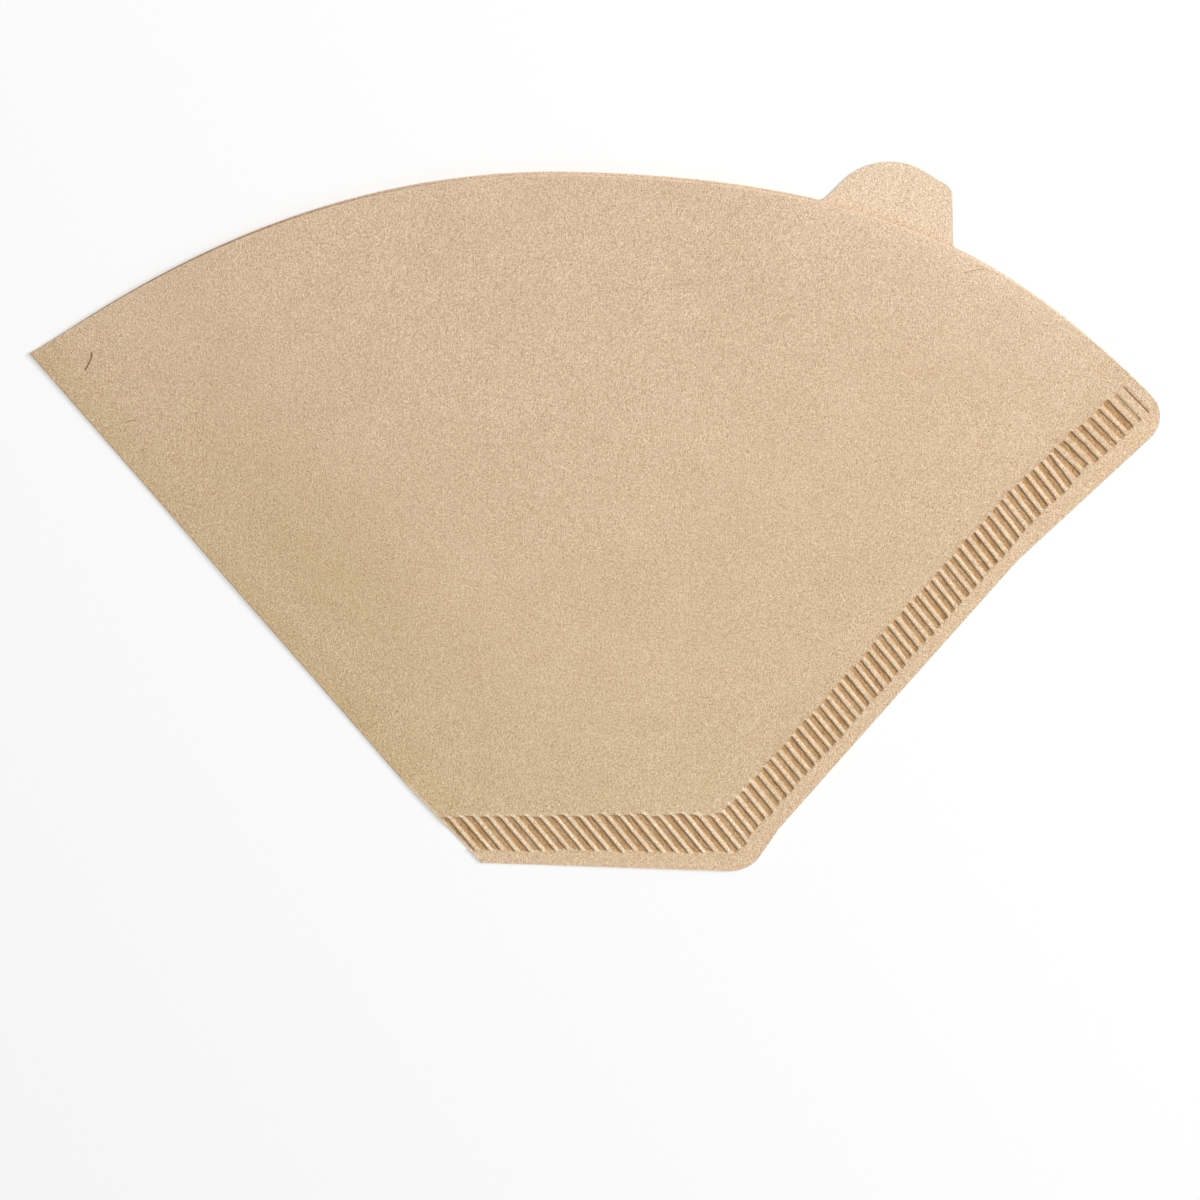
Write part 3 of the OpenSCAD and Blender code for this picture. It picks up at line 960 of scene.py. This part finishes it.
felt_group, g = new_group("crepe_felt")
socket(felt_group, "Vector", "NodeSocketVector")
socket(felt_group, "Length", "NodeSocketFloat", value=STRAND_LENGTH)
socket(felt_group, "Width", "NodeSocketFloat", value=STRAND_WIDTH)
socket(felt_group, "Felt", "NodeSocketFloat", out=True)
socket(felt_group, "Cloud", "NodeSocketFloat", out=True)
gi, go = g.node("NodeGroupInput"), g.node("NodeGroupOutput")
per_length = g.math("DIVIDE", 1.0, gi.outputs["Length"])
per_width = g.math("DIVIDE", 1.0, gi.outputs["Width"])
stretch = g.node("ShaderNodeCombineXYZ", {0: per_length, 1: per_width, 2: 1.0}).outputs[0]
felt = None
for k in range(FELT_LAYERS):
    way = g.turned(gi.outputs["Vector"], math.radians(CREPE_ANGLE) + k * math.pi / FELT_LAYERS)
    laid = g.vector("MULTIPLY", way, stretch)
    away = g.vector("ADD", laid, tuple(k * shift for shift in LAYER_SHIFT))
    layer = g.noise(away, 1.0, 1.0, 0.4, 0.25)
    if k == 0:
        layer = g.math("ADD", layer, FIRST_LAYER_PROUD)
    felt = layer if felt is None else g.math("MAXIMUM", felt, layer)
cloud = g.noise(gi.outputs["Vector"], CLOUD_SCALE, 3.0, 0.55, 0.4)
g.tree.links.new(g.remap(felt, FELT_LOW, FELT_HIGH), go.inputs["Felt"])
g.tree.links.new(g.remap(cloud, 0.3, 0.7), go.inputs["Cloud"])
print("group:", felt_group.name, "with", FELT_LAYERS, "layers")

# %% Strands: thin fibres that lie one way
BEND_SCALE, BEND_REACH = 0.5, (1.6, 1.6, 0.0)
LONG_AND_THIN = (0.45, 5.5, 1.0)
SHARE_FADE = 0.07

fibre_group, g = new_group("strands")
socket(fibre_group, "Vector", "NodeSocketVector")
socket(fibre_group, "Angle", "NodeSocketFloat", value=0.0)
socket(fibre_group, "Share", "NodeSocketFloat", value=0.72)
socket(fibre_group, "Mask", "NodeSocketFloat", out=True)
gi, go = g.node("NodeGroupInput"), g.node("NodeGroupOutput")
way = g.turned(gi.outputs["Vector"], gi.outputs["Angle"])
bent = g.node("ShaderNodeTexNoise", {"Vector": way, "Scale": BEND_SCALE, "Detail": 1.0})
moved = g.vector("ADD", way, g.vector("MULTIPLY", bent.outputs[1], BEND_REACH))
drawn_out = g.node("ShaderNodeMapping", {"Vector": moved, "Scale": LONG_AND_THIN})
strand = g.noise(drawn_out.outputs[0], 1.0, 1.0, 0.4)
high = g.math("ADD", gi.outputs["Share"], SHARE_FADE)
g.tree.links.new(g.remap(strand, gi.outputs["Share"], high), go.inputs["Mask"])
print("group:", fibre_group.name)


# %% Colours
def srgb(*rgb):
    """A colour written as 8-bit sRGB, as the shader wants it."""
    shares = [c / 255 for c in rgb]
    return (*(c / 12.92 if c <= 0.04045 else ((c + 0.055) / 1.055) ** 2.4 for c in shares), 1.0)


PAPER = srgb(215, 187, 157)
PAPER_SHADED_LOW = srgb(212, 187, 151)
PAPER_DEEP = srgb(182, 152, 116)
PAINTED_HIGHLIGHT_TONE = srgb(250, 230, 204)
INNER_PAINTED_LIGHT = srgb(228, 204, 176)
FOLD_PAINTED_SHADE = srgb(192, 166, 124)
MARGIN_TONE = srgb(218, 189, 156)
RIM_PAINTED_LIGHT = srgb(230, 206, 179)
CUT_PAINTED_HIGHLIGHT = srgb(242, 218, 194)
PRESSED_AND_SHADED = srgb(190, 154, 110)
PRESSED_DEEP_AND_SHADED = srgb(166, 126, 82)
WALL_SHADE = srgb(162, 115, 66)
STRAND_LIGHT = srgb(246, 230, 206)
STRAND_DARK = srgb(140, 100, 62)
print("paper tone:", tuple(round(c, 3) for c in PAPER[:3]))

# %% The paper's shader, and how it reads fields and groups
paper_mat = bpy.data.materials.new("crepe_paper")
paper_mat.use_nodes = True
nodes = paper_mat.node_tree.nodes
nodes.clear()
m = Graph(paper_mat.node_tree)
surface = m.node("ShaderNodeOutputMaterial")
shader = m.node("ShaderNodeBsdfPrincipled", {"Roughness": 0.88, "Specular IOR Level": 0.25})
m.tree.links.new(shader.outputs[0], surface.inputs[0])
mm = m.millimetres()


def attribute(name, amount=1.0, clamp=False):
    """A field of the mesh as a mask, times an amount."""
    field = m.node("ShaderNodeAttribute", attribute_name=name).outputs["Fac"]
    return m.math("MULTIPLY", field, amount, clamp=clamp)


def group(tree, inputs):
    n = m.node("ShaderNodeGroup")
    n.node_tree = tree
    for key, value in inputs.items():
        if isinstance(value, bpy.types.NodeSocket):
            m.tree.links.new(value, n.inputs[key])
        else:
            n.inputs[key].default_value = value
    return n


print("shader:", shader.name)

# %% Slow tones of the sheet, with painted shade and painted light
TONE_FROM, TONE_TO = -60.0, 45.0
CLOUD_AMOUNT = 0.16

felt = group(felt_group, {"Vector": mm})
height = m.node("ShaderNodeSeparateXYZ", {0: mm}).outputs["Y"]
# Painted shade: the paper turns darker and yellower towards the foot.
color = m.mix(m.remap(height, TONE_FROM, TONE_TO, 1.0, 0.0), PAPER, PAPER_SHADED_LOW)
color = m.mix(m.math("MULTIPLY", felt.outputs["Cloud"], CLOUD_AMOUNT), color, PAPER_DEEP)
for field, amount, tone in (
    # Painted shade along the fold, the margin's own tone, painted light by the rim and on the
    # inner face.
    ("fold", 0.6, FOLD_PAINTED_SHADE),
    ("margin", 1.0, MARGIN_TONE),
    ("rim", 0.6, RIM_PAINTED_LIGHT),
    ("inner", 0.9, INNER_PAINTED_LIGHT),
):
    color = m.mix(attribute(field, amount), color, tone)
print("tones:", len(nodes), "nodes so far")

# %% Pressed grooves, darker partly from the pressing and partly from painted shade, with strands drawn out along the bars, and painted highlights on the ridges
BAR_ANGLE = math.radians(90 - FOLD_LEAN)
STREAK_SHARE = 0.5
GROOVE_AMOUNT, RIDGE_AMOUNT = 0.9, 0.7

streaks = group(fibre_group, {"Vector": mm, "Angle": BAR_ANGLE, "Share": STREAK_SHARE})
# The groove floors' tone: partly the pressed paper's own darker colour, partly painted shade.
groove_tone_and_shade = m.mix(streaks.outputs["Mask"], PRESSED_AND_SHADED, PRESSED_DEEP_AND_SHADED)
color = m.mix(attribute("groove", GROOVE_AMOUNT, clamp=True), color, groove_tone_and_shade)
# Painted highlight on the ridges' lit sides, the foot ridges' ends and the fold's edge beside the
# crimp.
color = m.mix(attribute("crest", RIDGE_AMOUNT, clamp=True), color, PAINTED_HIGHLIGHT_TONE)
print("crimp:", len(nodes), "nodes so far")

# %% Grain: the felt's mottle, loose strands and relief
MOTTLE_DARK, MOTTLE_LIGHT = (0.7, 0.5, 0.36, 1), (1.56, 1.74, 1.86, 1)
LIGHT_AMOUNT, DARK_AMOUNT = 0.32, 0.22
SHADE_AMOUNT, CUT_AMOUNT = 0.7, 0.35
RELIEF, RELIEF_STRENGTH = 0.13 * MM, 0.7

mottle = m.mix(felt.outputs["Felt"], MOTTLE_DARK, MOTTLE_LIGHT)
color = m.vector("MULTIPLY", color, mottle)
for angle, share, tone, amount in (
    (0.4, 0.67, STRAND_LIGHT, LIGHT_AMOUNT),
    (1.9, 0.68, STRAND_LIGHT, LIGHT_AMOUNT),
    (2.7, 0.71, STRAND_DARK, DARK_AMOUNT),
    (1.2, 0.72, STRAND_DARK, DARK_AMOUNT),
):
    strands = group(fibre_group, {"Vector": mm, "Angle": angle, "Share": share})
    color = m.mix(m.math("MULTIPLY", strands.outputs["Mask"], amount), color, tone)
color = m.mix(attribute("shade", SHADE_AMOUNT, clamp=True), color, WALL_SHADE)
# Painted shade on the grooves' walls and a painted highlight along the cut edges.
color = m.mix(attribute("cut", CUT_AMOUNT), color, CUT_PAINTED_HIGHLIGHT)
m.tree.links.new(color, shader.inputs["Base Color"])
relief = {"Height": felt.outputs["Felt"], "Distance": RELIEF, "Strength": RELIEF_STRENGTH}
m.tree.links.new(m.node("ShaderNodeBump", relief).outputs[0], shader.inputs["Normal"])
mesh.materials.append(paper_mat)
print("material:", paper_mat.name, len(nodes), "nodes")

# %% [markdown]
# ## Stray fibres
# A few dark fibres of the pulp lie loose on the face. They are too thin for the felt, and a
# painted line would have no body, so each is a thin bent tube that rests on the paper.

# %% Dark fibre
fibre_mat = bpy.data.materials.new("dark_fibre")
fibre_mat.use_nodes = True
f = Graph(fibre_mat.node_tree)
fibre_shader = fibre_mat.node_tree.nodes["Principled BSDF"]
fibre_shader.inputs["Roughness"].default_value = 0.7
FIBRE_MOTTLE = 2.5
fibre_tone = f.mix(f.noise(f.millimetres(), FIBRE_MOTTLE), srgb(142, 92, 54), srgb(172, 126, 84))
f.tree.links.new(fibre_tone, fibre_shader.inputs["Base Color"])
print("material:", fibre_mat.name)

# %% Loose fibres on the front ply: a path in the outline's own axes, and a radius
FIBRES = [
    ([(-85.5, 93.2), (-85.7, 92.3), (-86.1, 91.2), (-86.8, 90.1)], 0.085),
    ([(53.7, 111.4), (55.4, 111.9), (57.0, 112.2)], 0.04),
    ([(-80.4, 81.1), (-79.7, 81.4), (-78.9, 81.5)], 0.04),
    ([(14.4, 33.8), (15.2, 33.5), (15.9, 33.9)], 0.04),
]
FIBRE_LIFT = 0.6
fibre_curve = bpy.data.curves.new("stray_fibres", "CURVE")
fibre_curve.dimensions = "3D"
fibre_curve.bevel_depth = 1.0 * MM
fibre_curve.bevel_resolution = 2
for path, radius in FIBRES:
    points = np.array(path)
    z = heights("front_top", points)[0] + radius * FIBRE_LIFT
    spline = fibre_curve.splines.new("NURBS")
    spline.points.add(len(points) - 1)
    for k, (x, y) in enumerate(points - middle):
        spline.points[k].co = (x * MM, y * MM, z[k] * MM, 1)
        spline.points[k].radius = radius
    spline.use_endpoint_u = True
    spline.order_u = 3
fibres = bpy.data.objects.new("stray_fibres", fibre_curve)
bpy.context.scene.collection.objects.link(fibres)
fibre_curve.materials.append(fibre_mat)
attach(fibres, "root")
print("fibres:", len(FIBRES))

# %% [markdown]
# ## Floor, light and camera
# The filter lies on a plain white floor under one large soft lamp at the upper right, which
# shades the right wall of every groove, and a pale sky that fills the rest. A stronger lamp
# would whiten the floor but bleach the paper. So the floor's material is lifted towards white
# for the camera's rays alone, and it keeps the filter's shadow.

# %% White floor
FLOOR_HALF, SEEN_WHITE = 1.5, 0.45
floor_mesh = bpy.data.meshes.new("floor")
signs = ((-1, -1), (1, -1), (1, 1), (-1, 1))
floor_corners = [(x * FLOOR_HALF, y * FLOOR_HALF, 0) for x, y in signs]
floor_mesh.from_pydata(floor_corners, [], [(0, 1, 2, 3)])
floor = bpy.data.objects.new("floor", floor_mesh)
bpy.context.scene.collection.objects.link(floor)
floor_mat = bpy.data.materials.new("floor_white")
floor_mat.use_nodes = True
w = Graph(floor_mat.node_tree)
floor_shader = floor_mat.node_tree.nodes["Principled BSDF"]
floor_shader.inputs["Base Color"].default_value = (1.0, 1.0, 1.0, 1)
floor_shader.inputs["Roughness"].default_value = 0.9
glow = w.node("ShaderNodeEmission", {"Strength": 1.0}).outputs[0]
seen = w.math("MULTIPLY", w.node("ShaderNodeLightPath").outputs["Is Camera Ray"], SEEN_WHITE)
white = w.node("ShaderNodeMixShader", {0: seen, 1: floor_shader.outputs[0], 2: glow})
w.tree.links.new(white.outputs[0], w.tree.nodes["Material Output"].inputs[0])
floor_mesh.materials.append(floor_mat)
print("floor:", 2 * FLOOR_HALF, "m square")

# %% Soft key light and sky
KEY_PLACE, KEY_SIZE, KEY_WATTS = (1.06, 0.576, 0.714), 0.6, 22.4
SKY_LEVEL = 0.42
key_data = bpy.data.lights.new("key", "AREA")
key_data.shape = "SQUARE"
key_data.size = KEY_SIZE
key_data.energy = KEY_WATTS
key = bpy.data.objects.new("key", key_data)
key.location = KEY_PLACE
key.rotation_euler = (-Vector(KEY_PLACE)).to_track_quat("-Z", "Y").to_euler()
bpy.context.scene.collection.objects.link(key)

world = bpy.data.worlds.new("sky")
bpy.context.scene.world = world
world.use_nodes = True
sky = world.node_tree.nodes["Background"]
sky.inputs["Color"].default_value = (1, 1, 1, 1)
sky.inputs["Strength"].default_value = SKY_LEVEL

# %% [markdown]
# The camera looks down at the sheet from the rim's side, 27 degrees off square, with a long
# lens. Its rim then lies at the top of the image and its foot at the bottom.

# %% Camera
LOOK_AT = Vector((1.589, -13.601, 0.3)) * MM
CAM_TURN, CAM_ELEVATION, CAM_ROLL, CAM_DISTANCE = 4.1148, 62.9979, 0.8082, 665.79 * MM
SENSOR_W, LENS, NEAREST = 36, 120.818, 0.05
cam_data = bpy.data.cameras.new("camera")
cam_data.sensor_width = SENSOR_W
cam_data.lens = LENS
cam_data.clip_start = NEAREST
cam = bpy.data.objects.new("camera", cam_data)
bpy.context.scene.collection.objects.link(cam)
turn_a, rise_a = math.radians(CAM_TURN), math.radians(CAM_ELEVATION)
back = Vector(
    (
        math.sin(turn_a) * math.cos(rise_a),
        math.cos(turn_a) * math.cos(rise_a),
        math.sin(rise_a),
    )
)
level_up = Vector((0, 1, 0)) - back * back.y
up_axis = Matrix.Rotation(math.radians(CAM_ROLL), 3, back) @ level_up.normalized()
axes = Matrix((up_axis.cross(back), up_axis, back)).transposed()
cam.matrix_world = Matrix.Translation(LOOK_AT + back * CAM_DISTANCE) @ axes.to_4x4()
bpy.context.scene.camera = cam
print("camera at", tuple(round(c, 4) for c in cam.matrix_world.translation))
bpy.context.scene.view_settings.view_transform = "Standard"
